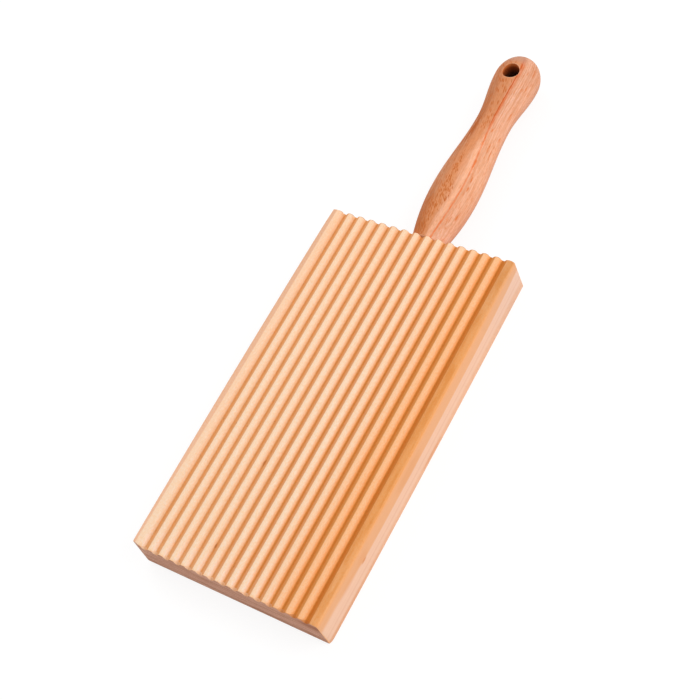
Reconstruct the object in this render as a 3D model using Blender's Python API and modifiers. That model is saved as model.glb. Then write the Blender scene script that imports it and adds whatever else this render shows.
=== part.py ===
"""Gnocchi board: a ridged board of pale wood with a turned handle pinned to its far end.

Metres, +Z up. The board lies flat with its ridges up and its handle along +Y. The origin is the middle
of the whole tool's footprint, on the surface that the board rests on.
"""

import math

import bmesh
import bpy

# Board
BOARD_WIDTH = 0.1
BOARD_LENGTH = 0.1905
BOARD_THICKNESS = 0.0206
LEFT_BEVEL_WIDTH = 0.0026
LEFT_BEVEL_DROP = 0.0004
RIGHT_BAND_CROWN = 0.0017
CORNER_ROUNDING = 0.0005

# Ridged face: a crest and a valley are arcs that meet at a common tangent, each crest a touch to the
# right of midway between its valleys
GROOVE_PITCH = 0.006225
GROOVE_DEPTH = 0.00185
GROOVE_SHIFT = 0.0003
CREST_SHIFT = 0.0003
VALLEY_RADIUS_SHARE = 0.3
LEAST_EDGE_BAND = 0.006

# Turned handle, measured along its own axis from the face of its neck
HANDLE_LENGTH = 0.1157
NECK_RADIUS = 0.0081
GRIP_RADIUS = 0.0119
GRIP_STATION = 0.03
GRIP_SWELL_POWER = 2.07
WAIST_RADIUS = 0.0089
WAIST_STATION = 0.0743
KNOB_RADIUS = 0.0117
KNOB_STATION = 0.1018

# Hanging hole, square to the board's face
HOLE_RADIUS = 0.0043
HOLE_TO_TIP = 0.0155

# How the handle sits: just clear of the table, and set by hand a little off the middle
TABLE_CLEARANCE = 0.00045
HANDLE_OFFSET = 0.0011
HANDLE_LEAN = math.radians(0.83)

# Dowel pin, glued half into each piece
PIN_RADIUS = 0.004
PIN_LENGTH = 0.04
PIN_CHAMFER = 0.0008
FLUTE_COUNT = 12
FLUTE_RADIUS = 0.0005
GLUE_ROOM = 0.001

# Fits and cuts
GAP = 0.0003
OVERRUN = 0.01
WELD_DISTANCE = 0.000001
FLAT_ANGLE = math.radians(1)
SHARP_ANGLE = math.radians(40)

# Facets
ARC_STEPS = 6
CROWN_STEPS = 8
CORNER_SEGMENTS = 2
TURNED_STEPS = 48
PROFILE_STEPS = 12
BORE_SIDES = 32
FLUTE_SIDES = 10

# Places that follow from the sizes above
LEAN_GAP = NECK_RADIUS * math.tan(abs(HANDLE_LEAN))
WHOLE_LENGTH = BOARD_LENGTH + GAP + LEAN_GAP + HANDLE_LENGTH
NEAR_END_Y = -WHOLE_LENGTH / 2
FAR_END_Y = NEAR_END_Y + BOARD_LENGTH
HANDLE_HEIGHT = GRIP_RADIUS + TABLE_CLEARANCE
PIN_BORE_RADIUS = PIN_RADIUS + GAP
PIN_BORE_DEPTH = PIN_LENGTH / 2 + GLUE_ROOM

PARTS_COLLECTION = "gnocchi_board"
CUTTERS_COLLECTION = "cutters"


def clear_scene():
    for obj in list(bpy.data.objects):
        bpy.data.objects.remove(obj, do_unlink=True)


def add_collection(name):
    collection = bpy.data.collections.new(name)
    bpy.context.scene.collection.children.link(collection)
    return collection


def wood_material(name, colour, roughness):
    material = bpy.data.materials.new(name)
    material.use_nodes = True
    shader = material.node_tree.nodes["Principled BSDF"]
    shader.inputs["Base Color"].default_value = (*colour, 1)
    shader.inputs["Roughness"].default_value = roughness
    shader.inputs["Metallic"].default_value = 0
    return material


def elliptic_arc(centre_x, centre_y, radius_x, radius_y, start, end, steps):
    """Points on an arc of an ellipse, its angles in degrees, both ends included."""
    points = []
    for step in range(steps + 1):
        angle = math.radians(start + (end - start) * step / steps)
        points.append((centre_x + radius_x * math.cos(angle), centre_y + radius_y * math.sin(angle)))
    return points


def arc(centre_x, centre_y, radius, start, end):
    return elliptic_arc(centre_x, centre_y, radius, radius, start, end, ARC_STEPS)


def groove_places():
    """Middle of each groove across the board, as many as fit between the two edge bands.

    The set sits a touch to the right, so the right band is the narrower one.
    """
    count = int((BOARD_WIDTH - 2 * LEAST_EDGE_BAND) / GROOVE_PITCH) + 1
    first = GROOVE_SHIFT - (count - 1) / 2 * GROOVE_PITCH
    return [first + index * GROOVE_PITCH for index in range(count)]


def ridge_arcs(half_width):
    """Crest radius, valley radius and shared slope in degrees, from a crest to a valley beside it."""
    slope = 2 * math.atan(GROOVE_DEPTH / half_width)
    radii_sum = half_width / math.sin(slope)
    valley_radius = VALLEY_RADIUS_SHARE * radii_sum
    return radii_sum - valley_radius, valley_radius, math.degrees(slope)


def groove(middle):
    """One groove from its left crest down to its valley and up to its right crest."""
    top = BOARD_THICKNESS
    bottom = top - GROOVE_DEPTH
    left_width = GROOVE_PITCH / 2 - CREST_SHIFT
    right_width = GROOVE_PITCH / 2 + CREST_SHIFT
    crest, valley, slope = ridge_arcs(left_width)
    falling = arc(middle - left_width, top - crest, crest, 90, 90 - slope)
    falling += arc(middle, bottom + valley, valley, 270 - slope, 270)[1:]
    crest, valley, slope = ridge_arcs(right_width)
    rising = arc(middle, bottom + valley, valley, 270, 270 + slope)
    rising += arc(middle + right_width, top - crest, crest, 90 + slope, 90)[1:]
    return falling + rising[1:-1]


def board_outline():
    """The board's section, clockwise from its lower left corner, seen from the near end."""
    side = BOARD_WIDTH / 2
    top = BOARD_THICKNESS
    points = [(-side, 0), (-side, top - LEFT_BEVEL_DROP), (LEFT_BEVEL_WIDTH - side, top)]
    for middle in groove_places():
        points += groove(middle)
    last_crest = groove_places()[-1] + GROOVE_PITCH / 2 + CREST_SHIFT
    points += elliptic_arc(last_crest, top - RIGHT_BAND_CROWN, side - last_crest, RIGHT_BAND_CROWN,
                           90, 0, CROWN_STEPS)
    points.append((side, 0))
    return points


def extruded_outline(name, points, length):
    """A closed flat outline, extruded by half its length to each side of its plane."""
    curve = bpy.data.curves.new(name, "CURVE")
    curve.dimensions = "2D"
    curve.fill_mode = "BOTH"
    curve.extrude = length / 2
    spline = curve.splines.new("POLY")
    spline.points.add(len(points) - 1)
    for point, (x, y) in zip(spline.points, points):
        point.co = (x, y, 0, 1)
    spline.use_cyclic_u = True
    return bpy.data.objects.new(name, curve)


def curve_to_mesh(curve_object, collection):
    """A mesh object in the curve's place, each cap one face and welded to the sides."""
    collection.objects.link(curve_object)
    bpy.context.view_layer.update()
    evaluated = curve_object.evaluated_get(bpy.context.evaluated_depsgraph_get())
    mesh = bpy.data.meshes.new_from_object(evaluated)
    shape = bmesh.new()
    shape.from_mesh(mesh)
    bmesh.ops.remove_doubles(shape, verts=shape.verts, dist=WELD_DISTANCE)
    bmesh.ops.dissolve_limit(shape, angle_limit=FLAT_ANGLE, verts=shape.verts, edges=shape.edges)
    shape.to_mesh(mesh)
    shape.free()
    name = curve_object.name
    place = curve_object.matrix_world.copy()
    bpy.data.objects.remove(curve_object, do_unlink=True)
    mesh.name = name
    obj = bpy.data.objects.new(name, mesh)
    obj.matrix_world = place
    collection.objects.link(obj)
    return obj


def turned_object(name, profile, collection, parent, steps):
    """A piece turned about its own Z axis, from a profile of radius and height, top to bottom."""
    shape = bmesh.new()
    verts = [shape.verts.new((radius, 0, height)) for radius, height in profile]
    for upper, lower in zip(verts, verts[1:]):
        shape.edges.new((upper, lower))
    mesh = bpy.data.meshes.new(name)
    shape.to_mesh(mesh)
    shape.free()
    obj = bpy.data.objects.new(name, mesh)
    collection.objects.link(obj)
    obj.parent = parent
    screw = obj.modifiers.new("turning", "SCREW")
    screw.axis = "Z"
    screw.angle = math.radians(360)
    screw.steps = steps
    screw.render_steps = steps
    screw.use_merge_vertices = True
    screw.merge_threshold = WELD_DISTANCE
    return obj


def cylinder_cutter(name, radius, low, high, sides, collection, parent=None):
    """A cylinder along its parent's Z axis, from one height to another."""
    shape = bmesh.new()
    bmesh.ops.create_cone(shape, cap_ends=True, segments=sides, radius1=radius, radius2=radius,
                          depth=high - low)
    mesh = bpy.data.meshes.new(name)
    shape.to_mesh(mesh)
    shape.free()
    obj = bpy.data.objects.new(name, mesh)
    collection.objects.link(obj)
    obj.parent = parent
    obj.location = (0, 0, (low + high) / 2)
    hide_cutter(obj)
    return obj


def hide_cutter(obj):
    obj.hide_render = True
    obj.display_type = "WIRE"


def cut(obj, cutter, name):
    boolean = obj.modifiers.new(name, "BOOLEAN")
    boolean.operation = "DIFFERENCE"
    boolean.solver = "EXACT"
    boolean.object = cutter


def smooth_round_faces(obj):
    """Smooth shading, with an edge kept sharp where two faces meet at a clear corner."""
    obj.data.shade_smooth()
    obj.data.set_sharp_from_angle(angle=SHARP_ANGLE)


def add_handle_axis(parts):
    """An empty at the middle of the neck's face, with its Z axis along the handle."""
    axis = bpy.data.objects.new("handle_axis", None)
    axis.empty_display_size = NECK_RADIUS
    axis.location = (HANDLE_OFFSET, FAR_END_Y + GAP + LEAN_GAP, HANDLE_HEIGHT)
    axis.rotation_euler = (math.radians(-90), 0, HANDLE_LEAN)
    parts.objects.link(axis)
    return axis


def make_ridged_board(parts, cutters, handle_axis):
    """The board: its ridged section extruded, its corners sanded, and a blind bore for the pin."""
    outline = extruded_outline("ridged_board", board_outline(), BOARD_LENGTH)
    outline.location = (0, (NEAR_END_Y + FAR_END_Y) / 2, 0)
    outline.rotation_euler = (math.radians(90), 0, 0)
    board = curve_to_mesh(outline, parts)
    corners = board.modifiers.new("sanded corners", "BEVEL")
    corners.width = CORNER_ROUNDING
    corners.segments = CORNER_SEGMENTS
    corners.limit_method = "ANGLE"
    corners.angle_limit = SHARP_ANGLE
    corners.use_clamp_overlap = False
    bore = cylinder_cutter("board_pin_bore", PIN_BORE_RADIUS, -PIN_BORE_DEPTH, OVERRUN, BORE_SIDES,
                           cutters, handle_axis)
    cut(board, bore, "pin bore")
    smooth_round_faces(board)
    board.data.materials.append(wood_material("pale beech", (0.86, 0.56, 0.33), 0.55))
    return board


def handle_profile():
    """The handle's radius and height from its tip down to its neck: knob, waist, grip and neck."""
    tip = HANDLE_LENGTH - KNOB_STATION
    points = []
    for step in range(PROFILE_STEPS):
        angle = math.radians(90) * step / PROFILE_STEPS
        points.append((KNOB_RADIUS * math.sin(angle), KNOB_STATION + tip * math.cos(angle)))
    stretches = (
        (KNOB_STATION, KNOB_RADIUS, WAIST_STATION, WAIST_RADIUS),
        (WAIST_STATION, WAIST_RADIUS, GRIP_STATION, GRIP_RADIUS),
    )
    for start, start_radius, end, end_radius in stretches:
        for step in range(PROFILE_STEPS):
            share = step / PROFILE_STEPS
            swing = (1 - math.cos(math.pi * share)) / 2
            points.append((start_radius + (end_radius - start_radius) * swing,
                           start + (end - start) * share))
    for step in range(PROFILE_STEPS + 1):
        share = step / PROFILE_STEPS
        radius = GRIP_RADIUS - (GRIP_RADIUS - NECK_RADIUS) * share ** GRIP_SWELL_POWER
        points.append((radius, GRIP_STATION * (1 - share)))
    points.append((0, 0))
    return points


def make_handle(parts, cutters, handle_axis):
    """The turned handle, with a blind bore for the pin and a hole to hang it by."""
    handle = turned_object("handle", handle_profile(), parts, handle_axis, TURNED_STEPS)
    bore = cylinder_cutter("handle_pin_bore", PIN_BORE_RADIUS, -OVERRUN, PIN_BORE_DEPTH, BORE_SIDES,
                           cutters, handle_axis)
    hole_reach = KNOB_RADIUS + OVERRUN
    hole = cylinder_cutter("hanging_hole", HOLE_RADIUS, -hole_reach, hole_reach, BORE_SIDES, cutters,
                           handle_axis)
    hole.location = (0, 0, HANDLE_LENGTH - HOLE_TO_TIP)
    hole.rotation_euler = (math.radians(90), 0, 0)
    cut(handle, bore, "pin bore")
    cut(handle, hole, "hanging hole")
    smooth_round_faces(handle)
    handle.data.materials.append(wood_material("reddish hardwood", (0.66, 0.33, 0.19), 0.42))
    return handle


def flute_cutter(collection, handle_axis):
    """Thin rods set round the pin's edge, all in one mesh."""
    shape = bmesh.new()
    for index in range(FLUTE_COUNT):
        angle = math.radians(360) * index / FLUTE_COUNT
        rod = bmesh.ops.create_cone(shape, cap_ends=True, segments=FLUTE_SIDES, radius1=FLUTE_RADIUS,
                                    radius2=FLUTE_RADIUS, depth=PIN_LENGTH + 2 * OVERRUN)
        place = (PIN_RADIUS * math.cos(angle), PIN_RADIUS * math.sin(angle), 0)
        bmesh.ops.translate(shape, verts=rod["verts"], vec=place)
    mesh = bpy.data.meshes.new("pin_flutes")
    shape.to_mesh(mesh)
    shape.free()
    obj = bpy.data.objects.new("pin_flutes", mesh)
    collection.objects.link(obj)
    obj.parent = handle_axis
    hide_cutter(obj)
    return obj


def make_dowel_pin(parts, cutters, handle_axis):
    """The fluted pin with chamfered ends, half in the board and half in the handle."""
    half = PIN_LENGTH / 2
    nose = PIN_RADIUS - PIN_CHAMFER
    profile = [
        (0, half),
        (nose, half),
        (PIN_RADIUS, half - PIN_CHAMFER),
        (PIN_RADIUS, PIN_CHAMFER - half),
        (nose, -half),
        (0, -half),
    ]
    pin = turned_object("dowel_pin", profile, parts, handle_axis, TURNED_STEPS)
    cut(pin, flute_cutter(cutters, handle_axis), "flutes")
    smooth_round_faces(pin)
    pin.data.materials.append(wood_material("pin beech", (0.78, 0.55, 0.36), 0.7))
    return pin


def main():
    clear_scene()
    parts = add_collection(PARTS_COLLECTION)
    cutters = add_collection(CUTTERS_COLLECTION)
    handle_axis = add_handle_axis(parts)
    make_ridged_board(parts, cutters, handle_axis)
    make_handle(parts, cutters, handle_axis)
    make_dowel_pin(parts, cutters, handle_axis)
    bpy.context.view_layer.update()


main()
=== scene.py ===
"""Gnocchi board in a plain white studio: a ridged beech board with a turned hardwood handle.

Metres in geometry, millimetres in the materials' own patterns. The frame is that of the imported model:
the board rests on z = 0 with its ridges up, and the handle points along +Y.
"""

import math

import bmesh
import bpy
from mathutils import Matrix, Vector


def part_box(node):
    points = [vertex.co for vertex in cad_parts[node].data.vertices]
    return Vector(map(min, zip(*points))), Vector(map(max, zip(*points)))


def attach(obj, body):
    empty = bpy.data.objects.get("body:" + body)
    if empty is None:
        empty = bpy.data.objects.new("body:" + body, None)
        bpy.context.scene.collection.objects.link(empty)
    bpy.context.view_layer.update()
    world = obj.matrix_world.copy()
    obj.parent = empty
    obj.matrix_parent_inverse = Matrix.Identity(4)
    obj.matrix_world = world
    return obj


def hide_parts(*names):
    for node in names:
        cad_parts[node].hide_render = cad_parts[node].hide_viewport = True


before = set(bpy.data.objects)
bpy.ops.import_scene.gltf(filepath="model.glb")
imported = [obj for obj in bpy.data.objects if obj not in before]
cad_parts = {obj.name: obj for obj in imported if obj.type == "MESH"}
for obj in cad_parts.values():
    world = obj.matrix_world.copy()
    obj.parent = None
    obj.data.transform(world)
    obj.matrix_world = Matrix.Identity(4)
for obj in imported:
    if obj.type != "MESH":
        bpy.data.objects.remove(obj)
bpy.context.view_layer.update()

# Board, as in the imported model
BOARD_WIDTH = 0.1
BOARD_LENGTH = 0.1905
BOARD_THICKNESS = 0.0206
LEFT_BEVEL_WIDTH = 0.0026
LEFT_BEVEL_DROP = 0.0004
RIGHT_BAND_CROWN = 0.0017
GROOVE_COUNT = 15
GROOVE_PITCH = 0.006225
GROOVE_SHIFT = 0.0003
CREST_SHIFT = 0.0003
VALLEY_RADIUS_SHARE = 0.3
FIRST_CREST = GROOVE_SHIFT + CREST_SHIFT - GROOVE_COUNT * GROOVE_PITCH / 2
LAST_CREST = FIRST_CREST + GROOVE_COUNT * GROOVE_PITCH

# Handle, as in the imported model, measured along its axis from the face of its neck
HANDLE_LENGTH = 0.1157
NECK_RADIUS = 0.0081
GRIP_RADIUS = 0.0119
GRIP_STATION = 0.03
GRIP_SWELL_POWER = 2.07
WAIST_RADIUS = 0.0089
WAIST_STATION = 0.0743
KNOB_RADIUS = 0.0117
KNOB_STATION = 0.1018
HOLE_RADIUS = 0.0043
HOLE_TO_TIP = 0.0155
HOLE_STATION = HANDLE_LENGTH - HOLE_TO_TIP
PIN_BORE_RADIUS = 0.0043
PIN_BORE_DEPTH = 0.021

# Place of the handle on the board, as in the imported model
HANDLE_LEAN = math.radians(0.83)
HANDLE_OFFSET = 0.0011
TABLE_CLEARANCE = 0.00045
NECK_GAP = 0.0003
HANDLE_GAP = NECK_GAP + NECK_RADIUS * math.tan(HANDLE_LEAN)

# Finer forms: the grooves' depths, and what sanding and use leave
LEFT_GROOVE_DEPTH = 0.002
RIGHT_GROOVE_DEPTH = 0.0017
NEAR_RIM = 0.00025
FAR_RIM = 0.0005
NEAR_MOUTH = (0.0003, 0.0012)
FAR_MOUTH = (0.0003, 0.0005)
UNDER_EDGE_ROUNDING = 0.0004
LEFT_ARRIS = 0.0004
LEFT_BEVEL_BULGE = 0.0001
EDGE_BOW = 0.0003
LEFT_TOP_BOW = 0.0003
EDGE_REACH = 0.0035
FOOT_SPREAD = 0.0004
NEAR_CORNER_LENGTH = 0.0012
LEFT_CORNER_ROUNDING = 0.0003
RIGHT_CORNER_ROUNDING = 0.0009
LEFT_CORNER_WEAR = 0.001
FAR_CORNER_INSET = 0.0002
CORNER_REACH = 0.009
LEFT_FOOT_LIFT = 0.001
RIGHT_FOOT_LIFT = 0.0006
CORNER_WIDTH = 0.006
FOOT_LIFT_HEIGHT = BOARD_THICKNESS / 4
HOLE_RIM = 0.0003
NECK_RIM = 0.0002
GLUE_LINE = 0.00002

# Facets
CREST_STEPS = 9
VALLEY_STEPS = 10
EDGE_STEPS = 5
CROWN_STEPS = 12
RIM_STEPS = 6
BOARD_STATIONS = 24
TURNED_STEPS = 96
HOLE_WINDOW_STEPS = 9
HOLE_WINDOW_REACH = 0.0068
HOLE_RINGS = 5
HOLE_WALL_STEPS = 6
BORE_SIDES = 48
SHARP_ANGLE = math.radians(35)

# Extra stations past the near corners, in lengths of a corner
NEAR_STATIONS = (1.3, 1.8, 2.5, 4)

# Places in the frame
board_low, board_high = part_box("ridged_board")
NEAR_END_Y = board_low.y
FAR_END_Y = board_high.y
HANDLE_PLACE = Vector((HANDLE_OFFSET, FAR_END_Y + HANDLE_GAP, GRIP_RADIUS + TABLE_CLEARANCE))

# Units of the materials' patterns in a metre
MILLIMETRES = 1000

# Sockets of the mix node for colours, by number, because their names repeat
MIX_FACTOR = 0
MIX_FIRST = 6
MIX_SECOND = 7
MIX_RESULT = 2


def smoothstep(value, start, end):
    share = min(max((value - start) / (end - start), 0), 1)
    return share * share * (3 - 2 * share)


def add_object(name, shape):
    """A mesh object from a bmesh, smooth but for its clear corners and its flat caps."""
    mesh = bpy.data.meshes.new(name)
    shape.to_mesh(mesh)
    shape.free()
    obj = bpy.data.objects.new(name, mesh)
    bpy.context.scene.collection.objects.link(obj)
    mesh.set_sharp_from_angle(angle=SHARP_ANGLE)
    return obj


def elliptic_arc(centre, radii, start, end, steps):
    """Points on an arc of an ellipse, its angles in degrees, both ends included."""
    points = []
    for step in range(steps + 1):
        angle = math.radians(start + (end - start) * step / steps)
        reach = Vector((radii[0] * math.cos(angle), radii[1] * math.sin(angle)))
        points.append(Vector(centre) + reach)
    return points


def arc(centre, radius, start, end, steps):
    return elliptic_arc(centre, (radius, radius), start, end, steps)


# The board


def left_bevel():
    """The hand-sanded left edge: a small rounding, then a slight crowned slope up to the top face."""
    side = BOARD_WIDTH / 2
    height = BOARD_THICKNESS - LEFT_BEVEL_DROP - LEFT_ARRIS
    slope_angle = 100
    points = arc((LEFT_ARRIS - side, height), LEFT_ARRIS, 180, slope_angle, EDGE_STEPS)
    start = points[-1]
    end = Vector((LEFT_BEVEL_WIDTH - side, BOARD_THICKNESS))
    for step in range(1, EDGE_STEPS + 1):
        share = step / EDGE_STEPS
        bulge = LEFT_BEVEL_BULGE * 4 * share * (1 - share)
        points.append(start.lerp(end, share) + Vector((0, bulge)))
    return points


def groove_depth(x):
    """The grooves are a little deeper on the left."""
    share = x / BOARD_WIDTH + 0.5
    return LEFT_GROOVE_DEPTH + (RIGHT_GROOVE_DEPTH - LEFT_GROOVE_DEPTH) * share


def ridge_arcs(half_width, depth):
    """Crest radius, valley radius and shared slope in degrees, from a crest to a valley beside it."""
    slope = 2 * math.atan(depth / half_width)
    radii_sum = half_width / math.sin(slope)
    valley_radius = VALLEY_RADIUS_SHARE * radii_sum
    return radii_sum - valley_radius, valley_radius, math.degrees(slope)


def groove(middle):
    """One groove from its left crest down to its valley and up to its right crest."""
    top = BOARD_THICKNESS
    depth = groove_depth(middle)
    bottom = top - depth
    left_width = GROOVE_PITCH / 2 - CREST_SHIFT
    right_width = GROOVE_PITCH / 2 + CREST_SHIFT
    crest, valley, slope = ridge_arcs(left_width, depth)
    falling = arc((middle - left_width, top - crest), crest, 90, 90 - slope, CREST_STEPS)
    falling += arc((middle, bottom + valley), valley, 270 - slope, 270, VALLEY_STEPS)[1:]
    crest, valley, slope = ridge_arcs(right_width, depth)
    rising = arc((middle, bottom + valley), valley, 270, 270 + slope, VALLEY_STEPS)
    rising += arc((middle + right_width, top - crest), crest, 90 + slope, 90, CREST_STEPS)[1:]
    return falling + rising[1:-1]


def board_section():
    """The board's section as (x, z) points, clockwise from its lower left corner."""
    side = BOARD_WIDTH / 2
    under = UNDER_EDGE_ROUNDING
    points = arc((under - side, under), under, 270, 180, EDGE_STEPS)
    points += left_bevel()
    for index in range(GROOVE_COUNT):
        points += groove((index - (GROOVE_COUNT - 1) / 2) * GROOVE_PITCH + GROOVE_SHIFT)
    points += elliptic_arc((LAST_CREST, BOARD_THICKNESS - RIGHT_BAND_CROWN),
                           (side - LAST_CREST, RIGHT_BAND_CROWN), 90, 0, CROWN_STEPS)
    points += arc((side - under, under), under, 0, -90, EDGE_STEPS)
    return points


def inward_normals(points):
    """For each point of a closed clockwise outline, the unit direction into the outline."""
    count = len(points)
    normals = []
    for index in range(count):
        before = points[index - 1]
        after = points[(index + 1) % count]
        along = (after - before).normalized()
        normals.append(Vector((along.y, -along.x)))
    return normals


def groove_share(point):
    """How deep in a groove a point of the section lies: 0 on a crest, 1 at the bottom."""
    if not FIRST_CREST < point.x < LAST_CREST or point.y < BOARD_THICKNESS / 2:
        return 0
    return min((BOARD_THICKNESS - point.y) / groove_depth(point.x), 1)


def worn(x, y, z):
    """A point of the plain board, moved as far as bowed edges, a spread foot and worn corners ask."""
    side = BOARD_WIDTH / 2
    edge = smoothstep(abs(x), side - EDGE_REACH, side) * math.copysign(1, x)
    along = (2 * y - NEAR_END_Y - FAR_END_Y) / BOARD_LENGTH
    foot = FOOT_SPREAD * (1 - z / BOARD_THICKNESS)
    shift = edge * EDGE_BOW * (1 - along * along)
    corner = smoothstep(abs(x), side - CORNER_WIDTH, side)
    lift = corner * smoothstep(y, NEAR_END_Y + EDGE_REACH, NEAR_END_Y)
    lift *= smoothstep(z, FOOT_LIFT_HEIGHT, 0)
    lean = smoothstep(y, NEAR_END_Y + CORNER_REACH, NEAR_END_Y)
    back = -foot * lean
    from_end = min((y - NEAR_END_Y) / NEAR_CORNER_LENGTH, 1)
    rounding = edge * (1 - math.sqrt(1 - (1 - from_end) ** 2))
    if x > 0:
        lift *= RIGHT_FOOT_LIFT
        shift += edge * foot - rounding * RIGHT_CORNER_ROUNDING * (1 - z / BOARD_THICKNESS)
    else:
        lift *= LEFT_FOOT_LIFT
        back += LEFT_CORNER_WEAR * corner * lean * z / BOARD_THICKNESS
        shift += edge * LEFT_TOP_BOW * (1 - along * along) * z / BOARD_THICKNESS
        shift -= rounding * LEFT_CORNER_ROUNDING
        shift -= edge * FAR_CORNER_INSET * smoothstep(y, FAR_END_Y - CORNER_REACH, FAR_END_Y)
    return x + shift, y + back, z + lift


def rim_ring(shape, points, normals, end_y, inwards, rim, mouth, share):
    """One ring of the edge round an end face, from 0 on the end face to 1 on the sides.

    The edge is rounded by the rim's radius, and the grooves' mouths have a bevel too, of the mouth's
    height and length."""
    angle = math.radians(90) * share
    height, length = mouth
    ring = []
    for point, normal in zip(points, normals):
        depth = groove_share(point)
        inset = rim * (1 - math.sin(angle)) + height * depth * (1 - share)
        along = rim * (1 - math.cos(angle)) + length * depth * share
        x, z = point + normal * inset
        ring.append(shape.verts.new(worn(x, end_y + inwards * along, z)))
    return ring


def board_rings(shape):
    """The section's rings from the near end to the far one, with an edge's rounding at each."""
    points = board_section()
    normals = inward_normals(points)
    shares = [step / RIM_STEPS for step in range(RIM_STEPS + 1)]
    near_end = (points, normals, NEAR_END_Y, 1, NEAR_RIM, NEAR_MOUTH)
    far_end = (points, normals, FAR_END_Y, -1, FAR_RIM, FAR_MOUTH)
    rings = [rim_ring(shape, *near_end, share) for share in shares]
    places = [NEAR_END_Y + NEAR_CORNER_LENGTH * lengths for lengths in NEAR_STATIONS]
    for step in range(1, BOARD_STATIONS):
        places.append(NEAR_END_Y + BOARD_LENGTH * step / BOARD_STATIONS)
    for y in places:
        rings.append([shape.verts.new(worn(x, y, z)) for x, z in points])
    rings += [rim_ring(shape, *far_end, share) for share in reversed(shares)]
    return rings


def join_rings(shape, rings):
    """Smooth quads between closed rings of the same length."""
    for lower, upper in zip(rings, rings[1:]):
        count = len(lower)
        for index in range(count):
            following = (index + 1) % count
            face = shape.faces.new((lower[index], lower[following], upper[following], upper[index]))
            face.smooth = True


def bore(obj, place, radius, depth):
    """Cuts a blind hole for the pin into the board's far end and applies the cut."""
    cutter_shape = bmesh.new()
    bmesh.ops.create_cone(cutter_shape, cap_ends=True, segments=BORE_SIDES, radius1=radius,
                          radius2=radius, depth=2 * depth)
    cutter = add_object("pin_bore_cutter", cutter_shape)
    cutter.matrix_world = place
    boolean = obj.modifiers.new("pin bore", "BOOLEAN")
    boolean.operation = "DIFFERENCE"
    boolean.solver = "EXACT"
    boolean.object = cutter
    bpy.context.view_layer.update()
    evaluated = obj.evaluated_get(bpy.context.evaluated_depsgraph_get())
    mesh = bpy.data.meshes.new_from_object(evaluated)
    mesh.set_sharp_from_angle(angle=SHARP_ANGLE)
    obj.modifiers.clear()
    obj.data = mesh
    bpy.data.objects.remove(cutter, do_unlink=True)


def make_board():
    shape = bmesh.new()
    rings = board_rings(shape)
    join_rings(shape, rings)
    shape.faces.new(list(reversed(rings[0])))
    shape.faces.new(rings[-1])
    bmesh.ops.recalc_face_normals(shape, faces=shape.faces)
    board = add_object("board", shape)
    turn = Matrix.Rotation(HANDLE_LEAN, 4, "Z") @ Matrix.Rotation(math.radians(90), 4, "X")
    bore(board, Matrix.Translation(HANDLE_PLACE) @ turn, PIN_BORE_RADIUS, PIN_BORE_DEPTH)
    return board


# The handle


def swing(station, start, start_radius, end, end_radius):
    share = (1 - math.cos(math.pi * (station - start) / (end - start))) / 2
    return start_radius + (end_radius - start_radius) * share


def handle_radius(station):
    """The turned handle's radius at a station along its axis."""
    if station < GRIP_STATION:
        share = 1 - max(station, 0) / GRIP_STATION
        return GRIP_RADIUS - (GRIP_RADIUS - NECK_RADIUS) * share ** GRIP_SWELL_POWER
    if station < WAIST_STATION:
        return swing(station, GRIP_STATION, GRIP_RADIUS, WAIST_STATION, WAIST_RADIUS)
    if station < KNOB_STATION:
        return swing(station, WAIST_STATION, WAIST_RADIUS, KNOB_STATION, KNOB_RADIUS)
    share = min((station - KNOB_STATION) / (HANDLE_LENGTH - KNOB_STATION), 1)
    return KNOB_RADIUS * math.sqrt(1 - share * share)


def handle_stations():
    """Stations of the turned surface, closer together round the cap."""
    straight_steps = 68
    cap_steps = 20
    stations = [KNOB_STATION * step / straight_steps for step in range(straight_steps)]
    cap = HANDLE_LENGTH - KNOB_STATION
    for step in range(cap_steps):
        stations.append(KNOB_STATION + cap * math.sin(math.radians(90) * step / cap_steps))
    return stations


def neck_station(x, inset):
    """Station at which the neck meets the board's end face, which isn't quite square to the handle."""
    reach = GLUE_LINE + inset - HANDLE_GAP
    return (reach - x * math.sin(HANDLE_LEAN)) / math.cos(HANDLE_LEAN)


def turned_ring(shape, radius, station_of):
    ring = []
    for column in range(TURNED_STEPS):
        angle = math.radians(360) * column / TURNED_STEPS
        x = radius * math.sin(angle)
        ring.append(shape.verts.new((x, station_of(x), radius * math.cos(angle))))
    return ring


def surface_height(x, station):
    """Height of the turned surface over the handle's middle plane."""
    return math.sqrt(handle_radius(station) ** 2 - x * x)


def window_loop(low_row, high_row):
    """(row, column) places round the patch of the surface that holds one mouth of the hole."""
    reach = HOLE_WINDOW_STEPS
    lower = [(low_row, column) for column in range(-reach, reach)]
    right = [(row, reach) for row in range(low_row, high_row)]
    upper = [(high_row, column) for column in range(reach, -reach, -1)]
    left = [(row, -reach) for row in range(high_row, low_row, -1)]
    return lower + right + upper + left


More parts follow.
